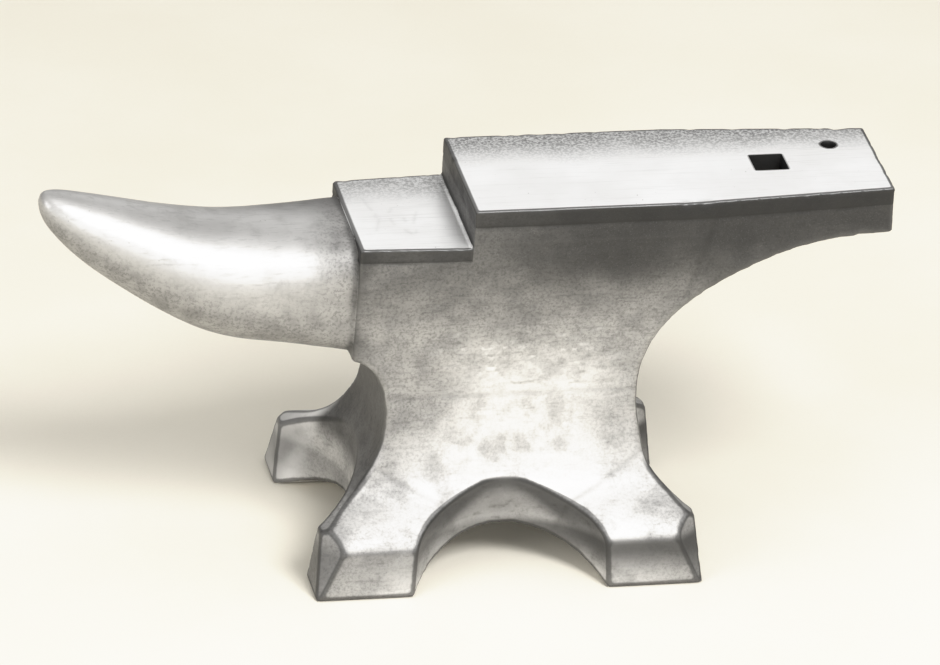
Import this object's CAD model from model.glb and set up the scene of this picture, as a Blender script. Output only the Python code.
import math

import bpy
import bmesh
import numpy as np
from mathutils import Matrix, Vector


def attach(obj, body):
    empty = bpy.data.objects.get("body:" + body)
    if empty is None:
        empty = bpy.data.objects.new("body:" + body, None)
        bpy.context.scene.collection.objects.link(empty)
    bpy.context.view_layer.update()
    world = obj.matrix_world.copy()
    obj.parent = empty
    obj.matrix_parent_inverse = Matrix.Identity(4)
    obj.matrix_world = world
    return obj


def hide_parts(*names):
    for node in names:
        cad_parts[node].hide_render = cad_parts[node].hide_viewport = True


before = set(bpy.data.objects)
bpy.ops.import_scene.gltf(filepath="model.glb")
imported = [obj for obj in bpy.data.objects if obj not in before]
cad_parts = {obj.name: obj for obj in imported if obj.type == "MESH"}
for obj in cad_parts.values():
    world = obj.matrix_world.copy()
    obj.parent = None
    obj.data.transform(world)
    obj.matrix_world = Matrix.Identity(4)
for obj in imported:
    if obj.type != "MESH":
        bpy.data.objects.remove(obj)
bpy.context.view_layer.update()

# ------------------------------------------------------------------ constants
MM = 0.001
SHIFT = 33.0                      # base middle to row origin, along X
VOX = 1.30 * MM                   # skin resolution
FACE_Z, TABLE_Z = 328.0, 294.0
FACE_SEAM, TABLE_SEAM, WAIST_SEAM = 313.0, 282.0, 150.0
STEP_X, ROOT_X, HEEL_X, TIP_X = -36.0, -130.0, 322.0, -388.0
HEEL_SEAM = (138.0, 168.0)
FOOT_N = (0.50, 0.84, -0.35)
FOOT_P = {1: (118.0, 62.0, 88.0), -1: (-112.0, 62.0, 88.0)}
HARDY_X, HARDY_Y, HARDY = 227.0, 0.0, 28.6
PRIT_X, PRIT_Y, PRIT_D = 285.0, 28.0, 12.7


# ---------------------------------------------------------------------- noise
def vnoise(p, scale, seed):
    """Smooth value noise in [-1, 1]; p in mm, scale in cells per mm."""
    q = p * scale + np.array([11.3, 7.7, 3.1]) * (seed + 1.0)
    i = np.floor(q).astype(np.int64)
    f = q - i
    u = f * f * f * (f * (f * 6 - 15) + 10)

    def h(dx, dy, dz):
        n = ((i[:, 0] + dx) * 73856093) ^ ((i[:, 1] + dy) * 19349663) \
            ^ ((i[:, 2] + dz) * 83492791) ^ (seed * 2654435761)
        n = (n ^ (n >> 13)) & 0x7FFFFFFF
        n = (n * 1274126177) & 0x7FFFFFFF
        n = (n ^ (n >> 15)) & 0x7FFFFFFF
        n = (n * 461845907) & 0x7FFFFFFF
        n = n ^ (n >> 16)
        return n / float(0x3FFFFFFF) - 1.0

    c = np.zeros(len(p))
    for dx in (0, 1):
        for dy in (0, 1):
            for dz in (0, 1):
                w = ((u[:, 0] if dx else 1 - u[:, 0])
                     * (u[:, 1] if dy else 1 - u[:, 1])
                     * (u[:, 2] if dz else 1 - u[:, 2]))
                c += w * h(dx, dy, dz)
    return c


def smoothstep(a, b, x):
    t = np.clip((x - a) / (b - a), 0, 1)
    return t * t * (3 - 2 * t)


# ------------------------------------------------------- one skin over it all
def copy_node(name):
    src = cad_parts[name]
    me = src.data.copy()
    me.materials.clear()
    bm = bmesh.new()
    bm.from_mesh(me)
    bmesh.ops.remove_doubles(bm, verts=bm.verts, dist=2e-6)
    bm.to_mesh(me)
    bm.free()
    o = bpy.data.objects.new("tmp_" + name, me)
    bpy.context.scene.collection.objects.link(o)
    return o


def apply_modifiers(o):
    dg = bpy.context.evaluated_depsgraph_get()
    me = bpy.data.meshes.new_from_object(o.evaluated_get(dg), depsgraph=dg)
    o.modifiers.clear()
    old = o.data
    o.data = me
    bpy.data.meshes.remove(old)
    return o


def join_all():
    parts = [copy_node(n) for n in sorted(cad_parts)]
    bm = bmesh.new()
    for o in parts:
        bm.from_mesh(o.data)
    me = bpy.data.meshes.new("skin")
    bm.to_mesh(me)
    bm.free()
    for o in parts:
        d = o.data
        bpy.data.objects.remove(o)
        bpy.data.meshes.remove(d)
    o = bpy.data.objects.new("skin", me)
    bpy.context.scene.collection.objects.link(o)
    return o


skin = join_all()
m = skin.modifiers.new("vox", "REMESH")
m.mode = "VOXEL"
m.voxel_size = VOX
m.adaptivity = 0.0
apply_modifiers(skin)

# keep only the outer shell: drop any closed-off pocket left at a seam
bm = bmesh.new()
bm.from_mesh(skin.data)
bm.verts.ensure_lookup_table()
seen = np.zeros(len(bm.verts), bool)
shells = []
for v0 in bm.verts:
    if seen[v0.index]:
        continue
    stack, group = [v0], []
    seen[v0.index] = True
    while stack:
        v = stack.pop()
        group.append(v)
        for e in v.link_edges:
            w = e.other_vert(v)
            if not seen[w.index]:
                seen[w.index] = True
                stack.append(w)
    shells.append(group)
shells.sort(key=len, reverse=True)
for g in shells[1:]:
    bmesh.ops.delete(bm, geom=g, context="VERTS")
bm.to_mesh(skin.data)
bm.free()

me = skin.data
n = len(me.vertices)
co = np.zeros(n * 3, np.float32)
me.vertices.foreach_get("co", co)
co = co.reshape(-1, 3).astype(float) * 1000.0
co[:, 0] -= SHIFT                               # base-centred millimetres
ed = np.zeros(len(me.edges) * 2, np.int32)
me.edges.foreach_get("vertices", ed)
ed = ed.reshape(-1, 2)
deg = np.bincount(ed.ravel(), minlength=n).astype(float)
print("skin", n, "verts", len(me.polygons), "faces", len(shells), "shells")


def average(f):
    a = np.bincount(ed[:, 0], f[ed[:, 1]], n) + np.bincount(
        ed[:, 1], f[ed[:, 0]], n)
    return a / deg


def laplace(p):
    return np.stack([average(p[:, k]) for k in range(3)], -1) - p


def put(p):
    q = p.copy()
    q[:, 0] += SHIFT
    me.vertices.foreach_set("co", (q / 1000.0).astype(np.float32).ravel())
    me.update()


def normals():
    nn = np.zeros(n * 3, np.float32)
    me.vertex_normals.foreach_get("vector", nn)
    return nn.reshape(-1, 3).astype(float)


# ---------------------------------------------------- soften the forged edges
X, Y, Z = co.T.copy()
plate = (((X > STEP_X - 0.5) & (Z > FACE_SEAM - 6))
         | ((X > ROOT_X - 1) & (X < STEP_X + 1) & (Z > TABLE_SEAM - 6)))
aloft_w = (Z > 165.0).astype(float)       # the feet also reach past ROOT_X
horn_w = smoothstep(ROOT_X - 4, ROOT_X - 26, X) * aloft_w
body_w = smoothstep(FACE_SEAM - 4, FACE_SEAM - 22, Z)
body_w = np.where(X < STEP_X, smoothstep(TABLE_SEAM - 3, TABLE_SEAM - 18, Z),
                  body_w)
body_w = np.where((X < ROOT_X) & (Z > 165), 0, body_w)
foot_w = smoothstep(62.0, 78.0, Z)             # the feet keep crisper edges
arch_r = (82.75 ** 2 + 55.0 ** 2) / 110.0      # and so do the arch rims
arch_q = np.abs(np.hypot(X - 0.75, np.abs(Y) - (72.0 + arch_r)) - arch_r)
foot_w = foot_w * np.maximum(smoothstep(8.0, 18.0, arch_q),
                             smoothstep(98.0, 112.0, Z))
near_hole = ((np.abs(X - HARDY_X) < 20) & (np.abs(Y - HARDY_Y) < 20)) | (
    (np.abs(X - PRIT_X) < 11) & (np.abs(Y - PRIT_Y) < 11))
for it in range(34):
    w = np.full(n, 0.5) if it < 4 else np.zeros(n)
    if it >= 4:
        w = np.maximum(w, 0.5 * horn_w)
        if it < 15:
            w = np.maximum(w, 0.5 * body_w * (foot_w if it > 7 else 1.0))
        w[plate & (X > ROOT_X)] = 0
    if it > 0:
        w[near_hole] = 0
    co += w[:, None] * laplace(co)

# the plates get true flats and evenly rounded edges
HALF_Y = [57.2, 60.6, 65.0, 68.3, 70.0, 70.0]
HALF_Z = [195.0, 225.0, 255.0, 278.0, 298.0, 400.0]


def rounded(pick, dists, dirs, r):
    """Project vertices onto a rounded block: dists are depths inside its
    faces, dirs the outward unit vectors of those faces."""
    gaps = [np.clip(r - dd, 0, None) for dd in dists]
    L = np.sqrt(sum(g * g for g in gaps))
    ok = pick & (L > 0.35 * r) & (L < 2.2 * r)
    for g, (ax, sg) in zip(gaps, dirs):
        step = np.where(ok, g * (r / np.maximum(L, 1e-6) - 1.0), 0.0)
        co[:, ax] += step * sg


X, Y, Z = co.T.copy()
side_sign = np.where(Y < 0, -1.0, 1.0)
plan_hw = np.interp(X, [ROOT_X, STEP_X, 150.0, HEEL_X],
                    [65.0, 70.0, 70.0, 57.5])
hw = np.minimum(plan_hw, np.interp(Z, HALF_Z, HALF_Y))
on_face = (X > STEP_X - 1.5) & ((Z > 297.5) | ((X > 290) & (Z > 289.5)))
rounded(on_face, [hw - np.abs(Y), HEEL_X - X, X - STEP_X, FACE_Z - Z],
        [(1, side_sign), (0, 1.0), (0, -1.0), (2, 1.0)], 1.6)
on_table = (X > ROOT_X + 2) & (X < STEP_X - 2.5) & (Z > TABLE_SEAM - 1)
rounded(on_table, [hw - np.abs(Y), TABLE_Z - Z], [(1, side_sign), (2, 1.0)],
        1.6)
put(co)
nn = normals()

# ------------------------------------------------------------ measured shape
curv = -(laplace(co) * nn).sum(1)           # + on outer edges, - in corners
wear = np.clip(curv / 0.10, 0, 1)
cav = np.clip(-curv / 0.07, 0, 1)
for it in range(3):
    wear = 0.5 * wear + 0.5 * average(wear)
for it in range(10):
    cav = 0.5 * cav + 0.5 * average(cav)
wear = np.clip(wear * 1.5, 0, 1)
cav = np.clip(cav * 2.2, 0, 1)

# scale and dirt stay in the hollows between the feet
X, Y, Z = co.T.copy()
r_s = arch_r
hollow = np.zeros(n)
for sy in (-1, 1):
    q = np.hypot(X - 0.75, Y - sy * (72.0 + r_s)) - r_s
    hollow = np.maximum(hollow, smoothstep(2.4, 0.9, np.abs(q))
                        * smoothstep(8, 58, Z) * smoothstep(80, 77.5, Z))
hollow *= (np.abs(nn[:, 2]) < 0.5)
for it in range(2):
    hollow = 0.5 * hollow + 0.5 * average(hollow)

# ------------------------------------------------ forging, grinding, wear
P = co.copy()
ground = (((Z > FACE_Z - 3) & (X > STEP_X - 1)) | (
    (Z > TABLE_Z - 3) & (X > ROOT_X) & (X <= STEP_X - 1))).astype(float)
is_horn = smoothstep(ROOT_X + 2, ROOT_X - 10, X) * aloft_w
rough_w = (1 - ground) * (1 - 0.72 * is_horn)
d = rough_w * (0.50 * vnoise(P, 1 / 62.0, 1) + 0.26 * vnoise(P, 1 / 24.0, 2)
               + 0.12 * vnoise(P, 1 / 9.0, 3) + 0.05 * vnoise(P, 1 / 4.2, 4))
d += ground * (0.10 * vnoise(P, 1 / 90.0, 5) - 0.05)
# shallow flat hammer marks on the forged faces
cell = vnoise(P, 1 / 15.0, 6)
d -= rough_w * 0.22 * smoothstep(0.28, 0.62, cell)
# pits in the forged skin
pit = vnoise(P, 1 / 5.0, 7)
d -= rough_w * 0.20 * smoothstep(0.55, 0.85, pit)


def groove(s, inside, depth, width, seed):
    """A weld line: s is the distance from the seam in mm."""
    amp = 0.55 + 0.45 * vnoise(P, 1 / 17.0, seed)
    return inside * depth * amp * np.exp(-(s / width) ** 2)


on_top = nn[:, 2] > 0.75
seam = groove(Z - FACE_SEAM, (X > STEP_X - 3) & ~on_top, 0.75, 1.7, 21)
seam += groove(Z - TABLE_SEAM, (X > ROOT_X - 1) & (X < STEP_X - 1)
               & (np.abs(Y) > 40), 0.60, 1.6, 22)
seam += groove(Z - WAIST_SEAM, np.ones(n), 0.22, 2.4, 23)
t = (Z - 200.0) / (FACE_SEAM - 200.0)
xs = HEEL_SEAM[0] + t * (HEEL_SEAM[1] - HEEL_SEAM[0])
seam += groove((X - xs) * 0.966, (Z > 205) & (Z < FACE_SEAM), 0.24, 2.4, 24)
nl = math.sqrt(sum(v * v for v in FOOT_N))
for ex in (-1, 1):
    px, py, pz = FOOT_P[ex]
    for sy in (-1, 1):
        s = ((X - px) * ex * FOOT_N[0] + (Y - sy * py) * sy * FOOT_N[1]
             + (Z - pz) * FOOT_N[2]) / nl
        seam += groove(s, (X * ex > 0) & (Y * sy > 0) & (Z < 125),
                       0.26, 2.4, 25 + ex + 2 * sy)
seam += groove(X - ROOT_X, (Z < TABLE_Z) & (Z > 165)
               & (np.abs(nn[:, 0]) < 0.8),
               0.35, 1.8, 31)
d -= seam

# edge dings: small dents where tools and stock have struck the edges
rng = np.random.RandomState(20161)
dent = np.zeros(n)
shift_v = np.zeros((n, 3))


def strike(cx, cy, cz, r, depth, direction):
    q = P - np.array([cx, cy, cz])
    k = np.exp(-(q ** 2).sum(1) / (r * r))
    v = np.array(direction, float)
    v /= np.linalg.norm(v)
    shift_v[:] += depth * k[:, None] * v
    dent[:] = np.maximum(dent, k * min(1.0, depth))


def half_width(x):
    if x < STEP_X:
        t_ = (x - ROOT_X) / (STEP_X - ROOT_X)
        return 65.0 + 5.0 * t_
    if x < 150:
        return 70.0
    return 70.0 - 12.5 * (x - 150.0) / 172.0


for k in range(30):
    x = rng.uniform(STEP_X + 6, HEEL_X - 6)
    sy = -1 if rng.rand() < 0.5 else 1
    r = rng.uniform(1.8, 5.5)
    strike(x, sy * half_width(x), FACE_Z, r, 0.16 * r * rng.uniform(0.7, 1.3),
           (0, -sy, -1))
for k in range(9):
    x = rng.uniform(ROOT_X + 5, STEP_X - 8)
    sy = -1 if rng.rand() < 0.5 else 1
    r = rng.uniform(1.8, 4.5)
    strike(x, sy * half_width(x), TABLE_Z, r, 0.17 * r, (0, -sy, -1))
for k in range(6):
    y = rng.uniform(-50, 50)
    r = rng.uniform(1.8, 4.2)
    strike(HEEL_X, y, FACE_Z, r, 0.16 * r, (-1, 0, -1))
    y = rng.uniform(-60, 60)
    strike(STEP_X, y, FACE_Z, r, 0.16 * r, (1, 0, -1))
# shallow chisel marks across the table
for k in range(11):
    x = rng.uniform(ROOT_X + 14, STEP_X - 12)
    y = rng.uniform(-44, 44)
    a = rng.uniform(-0.5, 0.5) + math.pi / 2
    ln = rng.uniform(6, 16)
    u = (X - x) * math.cos(a) + (Y - y) * math.sin(a)
    v = -(X - x) * math.sin(a) + (Y - y) * math.cos(a)
    k_ = np.exp(-(v / 1.5) ** 2) * smoothstep(ln, ln - 4, np.abs(u)) * (
        np.abs(Z - TABLE_Z) < 2) * (nn[:, 2] > 0.8)
    shift_v[:, 2] -= 0.30 * k_
    dent = np.maximum(dent, 0.6 * k_)
# knocks on the horn and feet
for k in range(14):
    j = rng.randint(0, n)
    while not ((X[j] < ROOT_X - 12 and Z[j] > 165) or 8 < Z[j] < 60):
        j = rng.randint(0, n)
    r = rng.uniform(3.0, 8.0)
    strike(P[j, 0], P[j, 1], P[j, 2], r, 0.05 * r, tuple(-nn[j]))

keep_flat = smoothstep(1.2, 3.0, Z)         # the pads stay on the floor
d *= np.where(Z < 3.0, keep_flat, 1.0)
co = P + nn * d[:, None] + shift_v
co[:, 2] = np.maximum(co[:, 2], 0.0)
co[:, 0] = np.clip(co[:, 0], TIP_X, HEEL_X + 0.4)
put(co)

for name, values in (("wear", wear), ("cavity", cav), ("hollow", hollow),
                     ("origin", np.ones(n)),
                     ("seam", np.clip(seam / 0.5, 0, 1)),
                     ("dent", np.clip(dent, 0, 1))):
    at = me.attributes.new(name, "FLOAT", "POINT")
    at.data.foreach_set("value", values.astype(np.float32))

# ---------------------------------------------------------- split into pieces
def mesh_object(name, verts, faces):
    m_ = bpy.data.meshes.new(name)
    m_.from_pydata([tuple(v) for v in verts], [], faces)
    m_.update()
    bm_ = bmesh.new()
    bm_.from_mesh(m_)
    bmesh.ops.recalc_face_normals(bm_, faces=bm_.faces)
    bm_.to_mesh(m_)
    bm_.free()
    o_ = bpy.data.objects.new(name, m_)
    bpy.context.scene.collection.objects.link(o_)
    return o_


def to_m(x, y, z):
    return ((x + SHIFT) * MM, y * MM, z * MM)


def box_cutter(x0, x1, y0, y1, z0, z1):
    v = [to_m(x, y, z) for z in (z0, z1) for y in (y0, y1) for x in (x0, x1)]
    f = [(0, 2, 3, 1), (4, 5, 7, 6), (0, 1, 5, 4), (2, 6, 7, 3),
         (0, 4, 6, 2), (1, 3, 7, 5)]
    return mesh_object("cut", v, f)


def prism_cutter(poly, y0, y1):
    """poly: XZ outline."""
    k = len(poly)
    v = [to_m(x, y0, z) for x, z in poly] + [to_m(x, y1, z) for x, z in poly]
    f = [tuple(range(k)), tuple(range(2 * k - 1, k - 1, -1))]
    f += [(i, (i + 1) % k, k + (i + 1) % k, k + i) for i in range(k)]
    return mesh_object("cut", v, f)


def foot_cutter(ex, sy):
    """Quarter box below z = 140 cut by the scarf plane."""
    o_ = box_cutter(*(sorted((0.0, ex * 300.0)) + sorted((0.0, sy * 300.0))),
                    -20, 140)
    px, py, pz = FOOT_P[ex]
    bm_ = bmesh.new()
    bm_.from_mesh(o_.data)
    geom = bm_.verts[:] + bm_.edges[:] + bm_.faces[:]
    res = bmesh.ops.bisect_plane(
        bm_, geom=geom, dist=1e-7, plane_co=Vector(to_m(px, sy * py, pz)),
        plane_no=Vector((ex * FOOT_N[0], sy * FOOT_N[1], FOOT_N[2])),
        clear_inner=True)
    edges = [g for g in res["geom_cut"] if isinstance(g, bmesh.types.BMEdge)]
    bmesh.ops.edgenet_fill(bm_, edges=edges)
    bmesh.ops.recalc_face_normals(bm_, faces=bm_.faces)
    bm_.to_mesh(o_.data)
    bm_.free()
    return o_


def boolean(src, cutters, op):
    """Copy of src cut by the cutters (op INTERSECT or DIFFERENCE)."""
    o_ = bpy.data.objects.new("tmp", src.data.copy())
    bpy.context.scene.collection.objects.link(o_)
    for c in cutters:
        b = o_.modifiers.new("b", "BOOLEAN")
        b.operation = op
        b.object = c
        b.solver = "MANIFOLD"
    bpy.context.view_layer.update()
    return apply_modifiers(o_)


def heal(o_):
    """Give vertices made by a cut the mean attributes of their neighbours."""
    m_ = o_.data
    nv = len(m_.vertices)
    known = np.zeros(nv, np.float32)
    m_.attributes["origin"].data.foreach_get("value", known)
    known = (known > 0.999).astype(float)
    e = np.zeros(len(m_.edges) * 2, np.int32)
    m_.edges.foreach_get("vertices", e)
    e = e.reshape(-1, 2)
    vals = {}
    for nm_ in ("wear", "cavity", "hollow", "seam", "dent"):
        a_ = np.zeros(nv, np.float32)
        m_.attributes[nm_].data.foreach_get("value", a_)
        vals[nm_] = a_.astype(float)
    for it_ in range(6):
        todo = known < 0.5
        if not todo.any():
            break
        wsum = np.bincount(e[:, 0], known[e[:, 1]], nv) + np.bincount(
            e[:, 1], known[e[:, 0]], nv)
        hit = todo & (wsum > 0)
        for nm_, a_ in vals.items():
            t_ = np.bincount(e[:, 0], (known * a_)[e[:, 1]], nv) \
                + np.bincount(e[:, 1], (known * a_)[e[:, 0]], nv)
            a_[hit] = t_[hit] / wsum[hit]
        known[hit] = 1.0
    for nm_, a_ in vals.items():
        m_.attributes[nm_].data.foreach_set("value", a_.astype(np.float32))


def tidy(o_):
    """Triangles only, no near-double vertices and no zero-thick flaps."""
    bm_ = bmesh.new()
    bm_.from_mesh(o_.data)
    bmesh.ops.remove_doubles(bm_, verts=bm_.verts[:], dist=2.0e-6)
    bmesh.ops.dissolve_degenerate(bm_, dist=1.0e-7, edges=bm_.edges[:])
    bmesh.ops.triangulate(bm_, faces=bm_.faces[:])
    for turn in range(3):
        bm_.verts.index_update()
        found = {}
        for f_ in bm_.faces:
            key = tuple(sorted(v_.index for v_ in f_.verts))
            found.setdefault(key, []).append(f_)
        dead = [f_ for fs in found.values() if len(fs) > 1 for f_ in fs]
        if not dead:
            break
        bmesh.ops.delete(bm_, geom=dead, context="FACES")
    loose = [v_ for v_ in bm_.verts if not v_.link_faces]
    if loose:
        bmesh.ops.delete(bm_, geom=loose, context="VERTS")
    bm_.to_mesh(o_.data)
    bm_.free()


def drop(*objs):
    for o_ in objs:
        m_ = o_.data
        bpy.data.objects.remove(o_)
        bpy.data.meshes.remove(m_)


T0, T1 = HEEL_SEAM
slope = (T1 - T0) / (FACE_SEAM - 200.0)
pieces = {}
c = box_cutter(-500, ROOT_X, -300, 300, WAIST_SEAM, 500)
pieces["horn"] = boolean(skin, [c], "INTERSECT")
drop(c)
c = box_cutter(ROOT_X, STEP_X, -300, 300, TABLE_SEAM, TABLE_Z + 1.5)
pieces["table_plate"] = boolean(skin, [c], "INTERSECT")
drop(c)
c = box_cutter(STEP_X - 2.5, 500, -300, 300, FACE_SEAM, 500)
pieces["face_plate"] = boolean(skin, [c], "INTERSECT")
drop(c)
heel_poly = [(T0, 200.0), (T1, FACE_SEAM), (500.0, FACE_SEAM), (500.0, 200.0)]
c = prism_cutter(heel_poly, -300, 300)
pieces["heel"] = boolean(skin, [c], "INTERSECT")
drop(c)
# re-cut both holes so their walls and corners are crisp
h_ = HARDY / 2.0 + 0.15
c1 = box_cutter(HARDY_X - h_, HARDY_X + h_, HARDY_Y - h_, HARDY_Y + h_,
                200, 400)
ring = [(PRIT_X + (PRIT_D / 2 + 0.1) * math.cos(2 * math.pi * i / 64),
         PRIT_Y + (PRIT_D / 2 + 0.1) * math.sin(2 * math.pi * i / 64))
        for i in range(64)]
c2 = mesh_object("cut", [to_m(x, y, 200) for x, y in ring]
                 + [to_m(x, y, 400) for x, y in ring],
                 [tuple(range(64)), tuple(range(127, 63, -1))]
                 + [(i, (i + 1) % 64, 64 + (i + 1) % 64, 64 + i)
                    for i in range(64)])
for nm in ("face_plate", "heel"):
    old = pieces[nm]
    pieces[nm] = boolean(old, [c1, c2], "DIFFERENCE")
    drop(old)
drop(c1, c2)
# the upper half of the core: an outline in side view
up_poly = [(ROOT_X, WAIST_SEAM), (T0 - slope * 50.0, WAIST_SEAM),
           (T1, FACE_SEAM), (STEP_X - 2.5, FACE_SEAM),
           (STEP_X - 2.5, TABLE_Z + 1.5), (STEP_X, TABLE_Z + 1.5),
           (STEP_X, TABLE_SEAM), (ROOT_X, TABLE_SEAM)]
c = prism_cutter(up_poly, -300, 300)
pieces["upper_body"] = boolean(skin, [c], "INTERSECT")
drop(c)
c = box_cutter(-500, 500, -300, 300, -50, WAIST_SEAM)
low = boolean(skin, [c], "INTERSECT")
drop(c)
feet_c = {}
for end_name, ex in (("horn", -1), ("heel", 1)):
    for side_name, sy in (("near", -1), ("far", 1)):
        c = foot_cutter(ex, sy)
        feet_c["foot_%s_%s" % (side_name, end_name)] = c
for name, c in feet_c.items():
    pieces[name] = boolean(low, [c], "INTERSECT")
pieces["lower_body"] = boolean(low, list(feet_c.values()), "DIFFERENCE")
drop(low, *feet_c.values())
drop(skin)
for name, o in pieces.items():
    heal(o)
    tidy(o)
    print("piece", name, len(o.data.vertices), len(o.data.polygons),
          [a.name for a in o.data.attributes if a.name in
           ("wear", "cavity", "seam", "dent")])


# ------------------------------------------------------------------ materials
class Nodes:
    """Small helper for building a shader tree."""

    def __init__(self, mat):
        self.t = mat.node_tree
        self.t.nodes.clear()
        self.out = self.t.nodes.new("ShaderNodeOutputMaterial")
        self.bsdf = self.t.nodes.new("ShaderNodeBsdfPrincipled")
        self.t.links.new(self.bsdf.outputs[0], self.out.inputs[0])
        tc = self.t.nodes.new("ShaderNodeTexCoord")
        self.obj = tc.outputs["Object"]

    def link(self, a, b):
        self.t.links.new(a, b)

    def val(self, x, sock):
        if isinstance(x, (int, float)):
            sock.default_value = x
        elif isinstance(x, tuple):
            sock.default_value = x if len(x) != 3 else (*x, 1.0) \
                if sock.type == "RGBA" else x
        else:
            self.link(x, sock)

    def mapping(self, scale=(1, 1, 1), rot=(0, 0, 0), loc=(0, 0, 0)):
        m_ = self.t.nodes.new("ShaderNodeMapping")
        m_.inputs["Scale"].default_value = scale
        m_.inputs["Rotation"].default_value = rot
        m_.inputs["Location"].default_value = loc
        self.link(self.obj, m_.inputs["Vector"])
        return m_.outputs[0]

    def noise(self, scale, detail=4.0, rough=0.55, vec=None, dist=0.0):
        n_ = self.t.nodes.new("ShaderNodeTexNoise")
        n_.inputs["Scale"].default_value = scale
        n_.inputs["Detail"].default_value = detail
        n_.inputs["Roughness"].default_value = rough
        n_.inputs["Distortion"].default_value = dist
        self.link(vec if vec is not None else self.obj, n_.inputs["Vector"])
        return n_.outputs[0]

    def voronoi(self, scale, vec=None, feature="F1"):
        n_ = self.t.nodes.new("ShaderNodeTexVoronoi")
        n_.feature = feature
        n_.inputs["Scale"].default_value = scale
        self.link(vec if vec is not None else self.obj, n_.inputs["Vector"])
        return n_.outputs["Distance"]

    def math(self, op, a, b=0.0, c=None, clamp=False):
        n_ = self.t.nodes.new("ShaderNodeMath")
        n_.operation = op
        n_.use_clamp = clamp
        self.val(a, n_.inputs[0])
        self.val(b, n_.inputs[1])
        if c is not None:
            self.val(c, n_.inputs[2])
        return n_.outputs[0]

    def ramp(self, x, lo, hi, out_lo=0.0, out_hi=1.0, smooth=True):
        n_ = self.t.nodes.new("ShaderNodeMapRange")
        n_.interpolation_type = "SMOOTHSTEP" if smooth else "LINEAR"
        n_.clamp = True
        self.val(x, n_.inputs["Value"])
        self.val(lo, n_.inputs["From Min"])
        self.val(hi, n_.inputs["From Max"])
        self.val(out_lo, n_.inputs["To Min"])
        self.val(out_hi, n_.inputs["To Max"])
        return n_.outputs[0]

    def mix(self, f, a, b):
        n_ = self.t.nodes.new("ShaderNodeMix")
        n_.data_type = "RGBA"
        self.val(f, n_.inputs[0])
        self.val(a, n_.inputs[6])
        self.val(b, n_.inputs[7])
        return n_.outputs[2]

    def mixf(self, f, a, b):
        n_ = self.t.nodes.new("ShaderNodeMix")
        n_.data_type = "FLOAT"
        self.val(f, n_.inputs[0])
        self.val(a, n_.inputs[2])
        self.val(b, n_.inputs[3])
        return n_.outputs[0]

    def attr(self, name):
        n_ = self.t.nodes.new("ShaderNodeAttribute")
        n_.attribute_name = name
        return n_.outputs["Fac"]

    def xyz(self):
        n_ = self.t.nodes.new("ShaderNodeSeparateXYZ")
        self.link(self.obj, n_.inputs[0])
        return n_.outputs[0], n_.outputs[1], n_.outputs[2]

    def up(self):
        """World-up part of the surface normal."""
        g = self.t.nodes.new("ShaderNodeNewGeometry")
        n_ = self.t.nodes.new("ShaderNodeSeparateXYZ")
        self.link(g.outputs["Normal"], n_.inputs[0])
        return n_.outputs[2]

    def sideways(self):
        """Lengthwise part of the surface normal, 0 to 1."""
        g = self.t.nodes.new("ShaderNodeNewGeometry")
        n_ = self.t.nodes.new("ShaderNodeSeparateXYZ")
        self.link(g.outputs["Normal"], n_.inputs[0])
        return self.math("ABSOLUTE", n_.outputs[0])

    def bump(self, height, strength, distance, normal=None):
        n_ = self.t.nodes.new("ShaderNodeBump")
        n_.inputs["Strength"].default_value = strength
        n_.inputs["Distance"].default_value = distance
        self.val(height, n_.inputs["Height"])
        if normal is not None:
            self.link(normal, n_.inputs["Normal"])
        return n_.outputs[0]

    def set(self, name, x):
        self.val(x, self.bsdf.inputs[name])


def new_material(name):
    m_ = bpy.data.materials.new(name)
    m_.use_nodes = True
    return m_, Nodes(m_)


def grey(v, warm=0.0):
    return (v * (1 + warm), v, v * (1 - warm * 1.4), 1.0)


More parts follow.
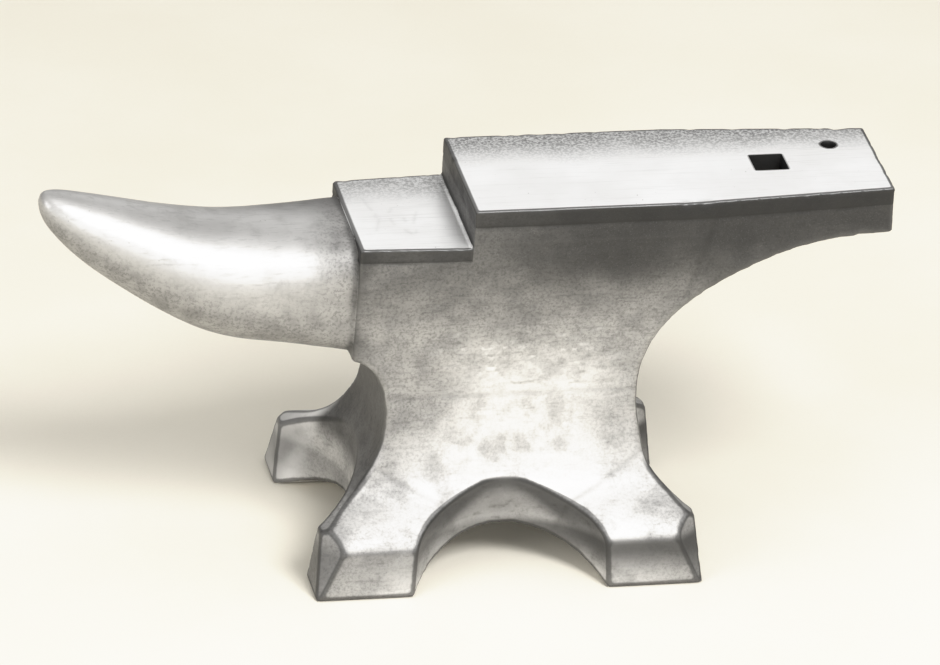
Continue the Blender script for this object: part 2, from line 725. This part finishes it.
def forged_layer(k, tone=1.0):
    """Forged iron skin: stippled grey scale, darker aloft and in corners,
    rubbed lighter on the waist and foot tops."""
    x, y, z = k.xyz()
    wide = k.noise(8.0, 3.0, 0.5)
    mid = k.noise(34.0, 5.0, 0.60)
    fine = k.noise(420.0, 4.0, 0.72)
    speck = k.noise(900.0, 2.0, 0.6)
    wipe = k.noise(1.0, 4.0, 0.6, k.mapping((45.0, 90.0, 330.0),
                                            (0, 0.75, 0)))
    wob = k.math("MULTIPLY", k.math("SUBTRACT", wide, 0.5), 0.10)
    zz = k.math("ADD", z, wob)
    xx = k.math("ADD", x, wob)
    aloft = k.math("MULTIPLY", k.ramp(zz, 0.185, 0.295),
                   k.ramp(xx, -0.10, 0.14, 0.62, 1.0), clamp=True)
    # rubbed patch: waist middle, opening out over the foot tops
    reach = k.ramp(z, 0.055, 0.140, 0.20, 0.105)
    off = k.math("ABSOLUTE", k.math("SUBTRACT", xx, 0.046))
    rub = k.math("MULTIPLY", k.ramp(k.math("DIVIDE", off, reach), 1.0, 0.35),
                 k.ramp(zz, 0.228, 0.165), clamp=True)
    rub = k.math("MULTIPLY", rub, k.ramp(k.up(), -0.12, 0.02, 0.35, 1.0))
    rub = k.math("MULTIPLY", rub, k.ramp(mid, 0.34, 0.56, 0.55, 1.0))
    base = k.mix(k.ramp(mid, 0.32, 0.68), grey(0.31 * tone, 0.02),
                 grey(0.46 * tone, 0.022))
    base = k.mix(k.math("MULTIPLY", aloft, 0.95), base,
                 grey(0.033 * tone, 0.02))
    base = k.mix(k.math("MULTIPLY", rub, 0.90), base,
                 grey(0.86 * tone, 0.012))
    # stippled scale and wiped streaks, thinner where the metal is rubbed
    stip = k.math("MULTIPLY", k.ramp(fine, 0.42, 0.68),
                  k.mixf(rub, 0.52, 0.10))
    base = k.mix(stip, base, k.mix(aloft, grey(0.080, 0.03),
                                   grey(0.032, 0.03)))
    streaks = k.math("MULTIPLY", k.ramp(wipe, 0.50, 0.70),
                     k.mixf(rub, 0.34, 0.10))
    base = k.mix(streaks, base, k.mix(aloft, grey(0.10, 0.03),
                                      grey(0.045, 0.03)))
    fleck = k.math("MULTIPLY", k.ramp(speck, 0.56, 0.74),
                   k.mixf(aloft, 0.18, 0.08))
    base = k.mix(fleck, base, grey(0.48 * tone, 0.01))
    hollow_ = k.math("MULTIPLY", k.attr("hollow"), k.ramp(mid, 0.30, 0.62,
                                                          0.44, 0.70))
    base = k.mix(hollow_, base, grey(0.085, 0.03))
    # scale is thickest right under the rim of each side arch
    rim = k.ramp(k.math("ABSOLUTE", k.math("SUBTRACT", x, 0.034)), 0.0, 0.082,
                 0.086, 0.044)
    rim = k.math("MULTIPLY", k.attr("hollow"),
                 k.ramp(k.math("SUBTRACT", z, rim), -0.027, -0.009))
    base = k.mix(k.math("MULTIPLY", rim, 0.80), base, grey(0.030, 0.02))
    # unworn ends of the waist
    ends = k.math("MULTIPLY", k.ramp(k.sideways(), 0.38, 0.74),
                  k.ramp(k.math("ABSOLUTE", k.math("SUBTRACT", xx, 0.030)),
                         0.070, 0.092))
    ends = k.math("MULTIPLY", ends, k.math(
        "MULTIPLY", k.ramp(zz, 0.215, 0.180), k.ramp(z, 0.050, 0.072)))
    ends = k.math("MULTIPLY", ends, k.ramp(mid, 0.30, 0.60, 0.60, 0.88))
    base = k.mix(ends, base, grey(0.045, 0.02))
    # far horn-side foot, rubbed bright
    stub = k.math("MULTIPLY", k.ramp(y, 0.058, 0.076),
                  k.ramp(x, -0.050, -0.066))
    stub = k.math("MULTIPLY", stub, k.ramp(z, 0.100, 0.080))
    stub = k.math("MULTIPLY", stub, k.ramp(mid, 0.30, 0.55, 0.60, 0.90))
    base = k.mix(stub, base, grey(0.93 * tone, 0.012))
    # soot held beside the horn root
    root = k.math("MULTIPLY", k.ramp(xx, -0.070, -0.094),
                  k.ramp(zz, 0.165, 0.215))
    base = k.mix(k.math("MULTIPLY", root, 0.74), base, grey(0.036, 0.02))
    # foot walls: duller than the foot tops
    wall = k.math("MULTIPLY", k.ramp(k.math("ABSOLUTE", k.math(
        "SUBTRACT", xx, 0.033)), 0.132, 0.156), k.ramp(z, 0.075, 0.045))
    wall = k.math("MULTIPLY", wall, k.ramp(k.sideways(), 0.25, 0.50))
    base = k.mix(k.math("MULTIPLY", wall, 0.55), base, grey(0.14, 0.02))
    low = k.math("MULTIPLY", k.ramp(z, 0.046, 0.037),
                 k.ramp(z, 0.000, 0.034, 0.12, 1.0))
    low = k.math("MULTIPLY", low, k.ramp(x, -0.04, 0.12, 0.45, 0.92))
    base = k.mix(low, base, grey(0.060, 0.02))
    cavity = k.attr("cavity")
    wear = k.attr("wear")
    seam_ = k.attr("seam")
    base = k.mix(k.math("MULTIPLY", cavity, 0.75, clamp=True), base,
                 grey(0.022, 0.04))
    base = k.mix(k.math("MULTIPLY", seam_, 0.65, clamp=True), base,
                 grey(0.026, 0.04))
    edge = k.math("MULTIPLY", wear, k.ramp(fine, 0.30, 0.60, 0.25, 1.0),
                  clamp=True)
    base = k.mix(k.math("MULTIPLY", edge, 0.25), base, grey(0.34, 0.01))
    # arrises of the feet keep their dark scale
    arris = k.math("MULTIPLY", k.ramp(wear, 0.12, 0.55),
                   k.ramp(z, 0.092, 0.080))
    base = k.mix(k.math("MULTIPLY", arris, 0.72), base, grey(0.045, 0.02))
    rough = k.mixf(k.ramp(mid, 0.3, 0.7), 0.62, 0.50)
    rough = k.mixf(rub, rough, 0.60)
    rough = k.mixf(edge, rough, 0.44)
    metal = k.mixf(edge, 0.40, 0.72)
    metal = k.mixf(stub, metal, 0.06)
    height = k.math("ADD", k.math("MULTIPLY", mid, 1.0),
                    k.math("MULTIPLY", fine, 0.38))
    return base, rough, metal, height


def make_forged(name):
    mat, k = new_material(name)
    base, rough, metal, height = forged_layer(k)
    k.set("Base Color", base)
    k.set("Roughness", rough)
    k.set("Metallic", metal)
    k.set("Normal", k.bump(height, 0.45, 0.0012))
    return mat


def make_plate(name, tone, top_z, far_dull, scratch):
    """Ground steel working surface over dark forged flanks."""
    mat, k = new_material(name)
    base_s, rough_s, metal_s, height_s = forged_layer(k, 0.8)
    base_s = k.mix(0.60, base_s, grey(0.022, 0.02))
    x, y, z = k.xyz()
    top = k.math("MULTIPLY", k.ramp(k.up(), 0.45, 0.80),
                 k.ramp(z, top_z - 0.006, top_z - 0.0025))
    long_ = k.noise(1.0, 5.0, 0.65, k.mapping((14.0, 620.0, 60.0)))
    cross = k.noise(1.0, 5.0, 0.65,
                    k.mapping((520.0, 22.0, 60.0), (0, 0, 0.35)))
    diag = k.noise(1.0, 4.0, 0.6,
                   k.mapping((46.0, 900.0, 60.0), (0, 0, -0.9)))
    wide = k.noise(13.0, 4.0, 0.55)
    stipple = k.noise(420.0, 3.0, 0.7)
    scr = k.math("MULTIPLY", k.math("ADD", k.ramp(long_, 0.52, 0.70),
                                    k.math("MULTIPLY",
                                           k.ramp(diag, 0.60, 0.74), 0.8)),
                 scratch, clamp=True)
    base = k.mix(k.ramp(wide, 0.32, 0.68), grey(0.90 * tone, 0.003),
                 grey(0.97 * tone, 0.001))
    base = k.mix(k.math("MULTIPLY", scr, 0.30), base, grey(0.50 * tone))
    # duller, less used strip along the far edge
    yy = k.math("ADD", y, k.math("MULTIPLY", k.math("SUBTRACT", wide, 0.5),
                                 0.05))
    dull = k.math("MULTIPLY", k.ramp(yy, 0.006, 0.060), far_dull)
    mott = k.ramp(stipple, 0.40, 0.60)
    base = k.mix(k.math("MULTIPLY", dull, k.mixf(mott, 0.40, 1.0)), base,
                 grey(0.19 * tone, 0.01))
    # small stains and pecks
    peck = k.ramp(k.voronoi(150.0), 0.13, 0.06)
    peck = k.math("MULTIPLY", peck, k.ramp(k.noise(24.0, 3.0), 0.50, 0.66))
    base = k.mix(k.math("MULTIPLY", peck, 0.6), base, grey(0.22, 0.02))
    dent = k.attr("dent")
    base = k.mix(k.math("MULTIPLY", dent, 0.25, clamp=True), base,
                 grey(0.45))
    edge = k.ramp(k.attr("wear"), 0.10, 0.45)
    base = k.mix(k.math("MULTIPLY", edge, 0.88), base, grey(0.075, 0.02))
    rough = k.mixf(k.ramp(wide, 0.3, 0.7), 0.42, 0.32)
    rough = k.mixf(k.math("MULTIPLY", scr, 0.6), rough, 0.44)
    rough = k.mixf(dull, rough, 0.50)
    top_h = k.math("ADD", k.math("MULTIPLY", scr, -0.5),
                   k.math("MULTIPLY", peck, -1.0))
    top_h = k.math("ADD", top_h, k.math("MULTIPLY", cross, 0.12))
    k.set("Base Color", k.mix(top, base_s, base))
    k.set("Roughness", k.mixf(top, rough_s, rough))
    k.set("Metallic", k.mixf(top, metal_s, 0.66))
    b1 = k.bump(height_s, 0.35, 0.0010)
    b2 = k.bump(top_h, 0.22, 0.00035)
    nmix = k.t.nodes.new("ShaderNodeMix")
    nmix.data_type = "VECTOR"
    k.val(top, nmix.inputs[0])
    k.link(b1, nmix.inputs[4])
    k.link(b2, nmix.inputs[5])
    k.set("Normal", nmix.outputs[1])
    return mat


def make_horn(name):
    """Horn rubbed smooth by work: satin grey, streaked along its length."""
    mat, k = new_material(name)
    x, y, z = k.xyz()
    wide = k.noise(11.0, 4.0, 0.55)
    mid = k.noise(48.0, 5.0, 0.6)
    fine = k.noise(380.0, 3.0, 0.7)
    streak = k.noise(1.0, 5.0, 0.6, k.mapping((60.0, 340.0, 340.0)))
    up_ = k.up()
    worn = k.math("MULTIPLY", k.ramp(up_, -0.35, 0.45),
                  k.ramp(k.math("ADD", x, k.math("MULTIPLY", wide, 0.05)),
                         -0.075, -0.115))
    dark = k.mix(k.ramp(mid, 0.3, 0.7), grey(0.26, 0.02), grey(0.42, 0.02))
    dark = k.mix(k.math("MULTIPLY", k.ramp(fine, 0.48, 0.62), 0.4), dark,
                 grey(0.075, 0.02))
    light = k.mix(k.ramp(wide, 0.3, 0.7), grey(0.52, 0.012),
                  grey(0.66, 0.010))
    light = k.mix(k.math("MULTIPLY", k.ramp(streak, 0.52, 0.68), 0.35),
                  light, grey(0.36, 0.01))
    peck = k.math("MULTIPLY", k.ramp(k.voronoi(190.0), 0.16, 0.07),
                  k.ramp(k.noise(21.0, 3.0), 0.50, 0.64))
    light = k.mix(k.math("MULTIPLY", peck, 0.5), light, grey(0.18, 0.02))
    w = k.math("MULTIPLY", worn, k.mixf(k.ramp(mid, 0.30, 0.52), 0.72, 1.0),
               clamp=True)
    base = k.mix(w, dark, light)
    shade = k.math("MULTIPLY", k.ramp(y, -0.012, 0.034),
                   k.ramp(x, -0.215, -0.125))
    shade = k.math("MULTIPLY", shade, k.ramp(mid, 0.28, 0.60, 0.45, 0.75))
    base = k.mix(shade, base, grey(0.13, 0.02))
    cavity = k.attr("cavity")
    seam_ = k.attr("seam")
    base = k.mix(k.math("MULTIPLY", cavity, 0.6, clamp=True), base,
                 grey(0.035, 0.03))
    base = k.mix(k.math("MULTIPLY", seam_, 0.6, clamp=True), base,
                 grey(0.035, 0.03))
    base = k.mix(k.math("MULTIPLY", k.attr("dent"), 0.3, clamp=True), base,
                 grey(0.30))
    rough = k.mixf(w, 0.56, k.mixf(k.ramp(streak, 0.4, 0.7), 0.40, 0.50))
    k.set("Base Color", base)
    k.set("Roughness", rough)
    k.set("Metallic", k.mixf(w, 0.5, 0.74))
    height = k.math("ADD", k.math("MULTIPLY", mid, k.mixf(w, 1.0, 0.30)),
                    k.math("MULTIPLY", fine, k.mixf(w, 0.35, 0.06)))
    height = k.math("ADD", height, k.math("MULTIPLY", peck, -0.25))
    k.set("Normal", k.bump(height, 0.40, 0.0009))
    return mat


MATS = {
    "forged_iron_body": make_forged("forged_iron_body"),
    "ground_steel_face": make_plate("ground_steel_face", 1.0, 0.328, 0.95,
                                    0.7),
    "ground_steel_table": make_plate("ground_steel_table", 0.98, 0.294, 0.75,
                                     0.9),
    "dressed_iron_horn": make_horn("dressed_iron_horn"),
}
SLOTS = {"face_plate": "ground_steel_face",
         "table_plate": "ground_steel_table", "horn": "dressed_iron_horn"}

for name, o in pieces.items():
    o.name = "skin_" + name
    o.data.name = o.name
    o.data.materials.clear()
    slot_name = SLOTS.get(name, "forged_iron_body")
    o.data.materials.append(MATS[slot_name])
    o.data.shade_smooth()
    o.data.set_sharp_from_angle(angle=math.radians(42))
    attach(o, "root")
    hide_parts(name)

# ---------------------------------------------------------------------- stage
floor_me = bpy.data.meshes.new("floor")
S = 9.0
floor_me.from_pydata([(-S, -S, -0.0006), (S, -S, -0.0006), (S, S, -0.0006),
                      (-S, S, -0.0006)], [], [(0, 1, 2, 3)])
floor = bpy.data.objects.new("floor", floor_me)
bpy.context.scene.collection.objects.link(floor)
mat, k = new_material("floor")
tooth = k.noise(420.0, 3.0, 0.6)
cloud = k.noise(3.2, 4.0, 0.5)
col = k.mix(k.ramp(cloud, 0.35, 0.65), (0.895, 0.850, 0.735, 1),
            (0.930, 0.885, 0.775, 1))
col = k.mix(k.math("MULTIPLY", k.ramp(tooth, 0.45, 0.70), 0.10), col,
            (0.80, 0.755, 0.65, 1))
k.set("Base Color", col)
k.set("Roughness", 0.9)
k.set("Normal", k.bump(tooth, 0.12, 0.0006))
floor_me.materials.append(mat)


def area(name, target, azimuth, elevation, dist, size, power, color=(1, 1, 1),
         size_y=None):
    """Softbox: azimuth 0 is on the -Y side, positive towards +X."""
    a_, e_ = math.radians(azimuth), math.radians(elevation)
    d_ = Vector((math.sin(a_) * math.cos(e_), -math.cos(a_) * math.cos(e_),
                 math.sin(e_)))
    L = bpy.data.lights.new(name, "AREA")
    L.shape = "RECTANGLE"
    L.size = size
    L.size_y = size_y or size
    L.energy = power
    L.color = color
    ob = bpy.data.objects.new(name, L)
    bpy.context.scene.collection.objects.link(ob)
    ob.location = Vector(target) + d_ * dist
    ob.rotation_euler = d_.to_track_quat("Z", "Y").to_euler()
    return ob


area("key", (0, 0, 0.2), 26, 50, 4.2, 1.6, 138.0)
area("top", (0, 0.1, 0.2), -20, 80, 3.4, 3.2, 12.0)
area("back", (0, 0.4, 0.3), 172, 30, 3.2, 3.0, 9.5, size_y=1.4)
area("fill", (0, 0, 0.2), -62, 22, 2.6, 1.4, 17.0)
area("front", (0, 0, 0.15), -6, 17, 5.2, 3.4, 42.0, size_y=1.4)

world = bpy.data.worlds.new("studio")
bpy.context.scene.world = world
world.use_nodes = True
wn = world.node_tree
wn.nodes.clear()
wo = wn.nodes.new("ShaderNodeOutputWorld")
bg = wn.nodes.new("ShaderNodeBackground")
tc = wn.nodes.new("ShaderNodeTexCoord")
sp = wn.nodes.new("ShaderNodeSeparateXYZ")
mr = wn.nodes.new("ShaderNodeMapRange")
mr.inputs["From Min"].default_value = -0.1
mr.inputs["From Max"].default_value = 0.9
mr.inputs["To Min"].default_value = 0.22
mr.inputs["To Max"].default_value = 0.50
wn.links.new(tc.outputs["Generated"], sp.inputs[0])
wn.links.new(sp.outputs[2], mr.inputs["Value"])
wn.links.new(mr.outputs[0], bg.inputs["Strength"])
bg.inputs["Color"].default_value = (1.0, 0.985, 0.955, 1)
wn.links.new(bg.outputs[0], wo.inputs[0])

scene = bpy.context.scene
scene.view_settings.view_transform = "Standard"
scene.view_settings.look = "None"
scene.view_settings.exposure = 0.0
# soft shoulder, so that bright metal and the pale floor keep their tone
scene.view_settings.use_curve_mapping = True
curves = scene.view_settings.curve_mapping
curves.white_level = (1.6, 1.6, 1.6)
tone_curve = curves.curves[3]
for px_, py_ in ((0.125, 0.200), (0.250, 0.400), (0.375, 0.600),
                 (0.469, 0.750), (0.5625, 0.885), (0.656, 0.950),
                 (0.80, 0.985)):
    tone_curve.points.new(px_, py_)
curves.update()

# --------------------------------------------------------------------- camera
AZ, EL, ROLL = -12.99, 27.48, -3.553
DIST, F_PX = 7.012, 8375.8
OFF_X, OFF_Y = 21.72, 9.08
a_, e_, r_ = map(math.radians, (AZ, EL, ROLL))
back = Vector((math.sin(a_) * math.cos(e_), -math.cos(a_) * math.cos(e_),
               math.sin(e_)))
right0 = Vector((math.cos(a_), math.sin(a_), 0))
up0 = Vector((-math.sin(a_) * math.sin(e_), math.cos(a_) * math.sin(e_),
              math.cos(e_)))
right = right0 * math.cos(r_) - up0 * math.sin(r_)
up = right0 * math.sin(r_) + up0 * math.cos(r_)
cam = bpy.data.cameras.new("camera")
cam.sensor_fit = "HORIZONTAL"
cam.sensor_width = 36.0
cam.lens = F_PX * 36.0 / 940.0
cam.shift_x = -OFF_X / 940.0
cam.shift_y = OFF_Y / 940.0
cam.clip_end = 60.0
cam_o = bpy.data.objects.new("camera", cam)
scene.collection.objects.link(cam_o)
loc = Vector((SHIFT * MM, 0, 0.170)) + back * DIST
mat4 = Matrix.Identity(4)
for i in range(3):
    mat4[i][0], mat4[i][1], mat4[i][2] = right[i], up[i], back[i]
    mat4[i][3] = loc[i]
cam_o.matrix_world = mat4
scene.camera = cam_o
